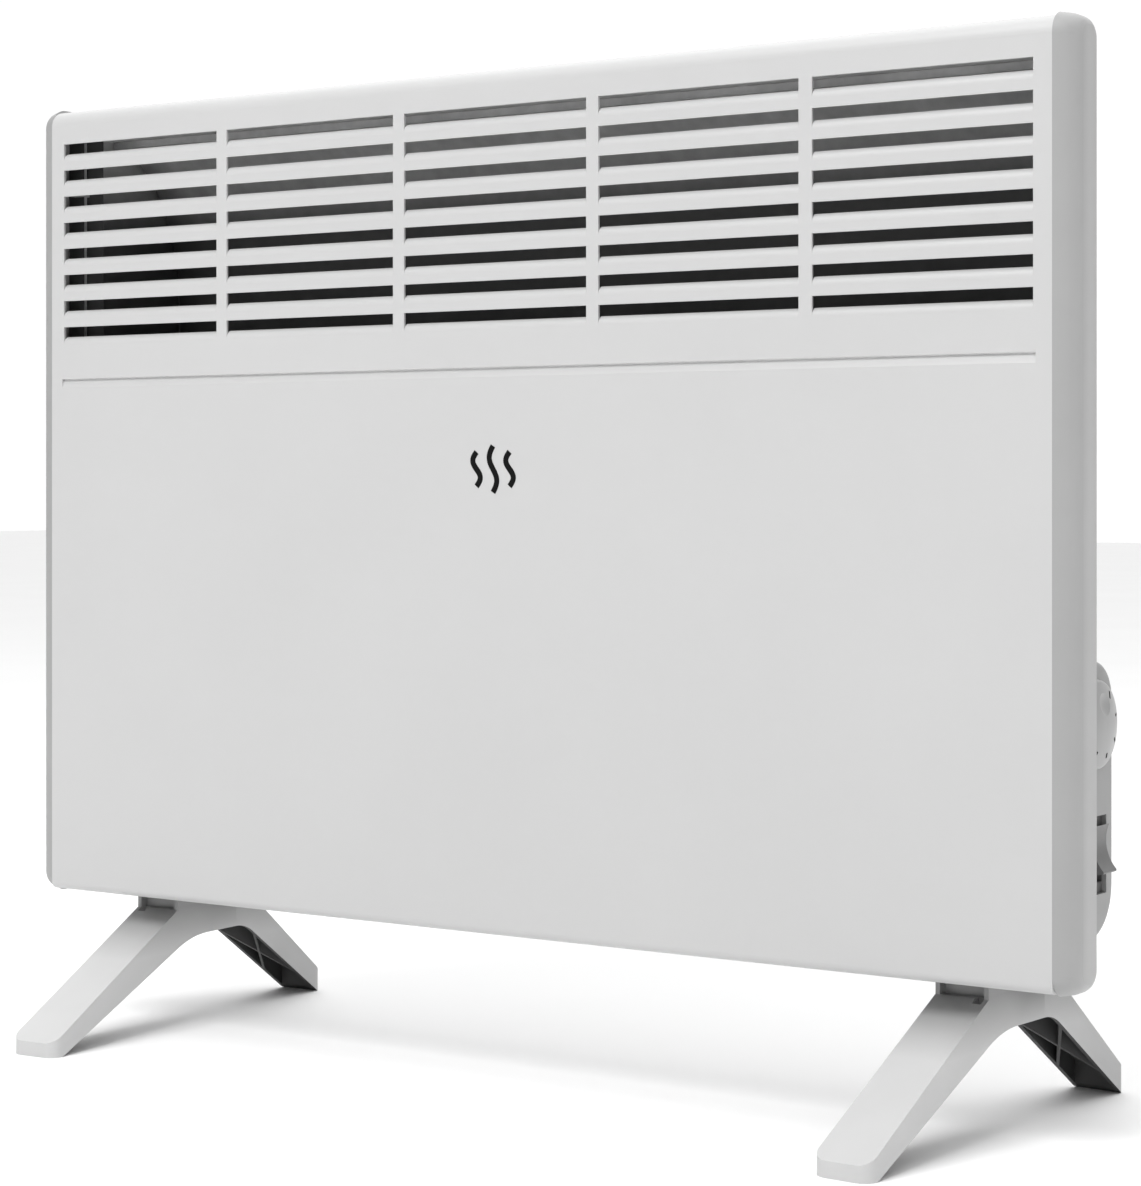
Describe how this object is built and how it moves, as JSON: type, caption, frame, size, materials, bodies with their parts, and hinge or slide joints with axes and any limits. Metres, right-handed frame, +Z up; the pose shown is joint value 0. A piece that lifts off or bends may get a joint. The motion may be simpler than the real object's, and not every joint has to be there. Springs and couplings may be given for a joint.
{
  "type": "panel convector heater",
  "caption": "Flat white electric convector heater with a louvred outlet grille in the front, side caps, a side control unit and splayed feet.",
  "frame": {"origin": "on the floor, midway between the two feet and halfway along them", "axes": "+X to the right seen from the front, +Y to the back, +Z up"},
  "size_m": [0.595, 0.2291, 0.4815],
  "materials": {
    "white_enamel": "satin powder coat",
    "zinc_sheet": "galvanised",
    "cap_plastic": "fine matt",
    "foot_plastic": "satin",
    "zinc_screw": "zinc plated",
    "brass_parts": "plain",
    "control_plastic": "satin",
    "thermostat_metal": "plated",
    "knob_plastic": "satin",
    "copper_bulb": "plain copper",
    "switch_black": "satin",
    "rocker_grey": "satin",
    "block_plastic": "matt",
    "bush_rubber": "matt",
    "fin_aluminium": "extruded",
    "sheath_steel": "heat darkened",
    "seal_rubber": "silicone",
    "cutout_phenolic": "phenolic",
    "wire_brown": "silicone sleeve",
    "wire_blue": "silicone sleeve",
    "wire_green": "green and yellow sleeve"
  },
  "bodies": {
    "casing": {"air_deflector": "zinc_sheet", "bracket_screws": "zinc_screw", "cap_screws": "zinc_screw", "casing_screws": "zinc_screw", "control_cover": "control_plastic", "control_housing": "control_plastic", "cord_bush": "bush_rubber", "cutout_bracket": "zinc_sheet", "cutout_screw": "zinc_screw", "cutout_terminals": "brass_parts", "deflector_screws": "zinc_screw", "earth_nut": "brass_parts", "earth_screw": "zinc_screw", "element_bracket_left": "zinc_sheet", "element_bracket_right": "zinc_sheet", "element_bush_left": "seal_rubber", "element_bush_right": "seal_rubber", "element_fins": "fin_aluminium", "element_pins": "sheath_steel", "element_seals": "seal_rubber", "element_tube": "sheath_steel", "foot_left": "foot_plastic", "foot_nuts": "zinc_screw", "foot_right": "foot_plastic", "foot_screws": "zinc_screw", "front_panel": "white_enamel", "housing_screws": "zinc_screw", "rear_panel": "white_enamel", "side_cap_left": "cap_plastic", "side_cap_right": "cap_plastic", "side_panel_left": "white_enamel", "side_panel_right": "white_enamel", "switch_body": "switch_black", "switch_terminals": "brass_parts", "terminal_block": "block_plastic", "terminal_screws": "brass_parts", "thermal_cutout": "cutout_phenolic", "thermostat_body": "thermostat_metal", "thermostat_bulb": "copper_bulb", "thermostat_nut": "zinc_screw", "thermostat_terminals": "brass_parts", "wire_earth": "wire_green", "wire_element": "wire_brown", "wire_heater": "wire_brown", "wire_live": "wire_brown", "wire_neutral": "wire_blue", "wire_switched": "wire_brown"},
    "dial": {"thermostat_knob": "knob_plastic", "thermostat_shaft": "thermostat_metal"},
    "rocker": {"switch_rocker": "rocker_grey"}
  },
  "joints": [
    {"name": "thermostat_turn", "type": "hinge", "parent": "casing", "child": "dial", "pos_m": [0.281, 0.0125, 0.1795], "axis": [-1, 0, 0], "range_deg": [0, 270]},
    {"name": "switch_rock", "type": "hinge", "parent": "casing", "child": "rocker", "pos_m": [0.271, 0.022, 0.122], "axis": [0, 1, 0], "range_deg": [0, 24]}
  ]
}
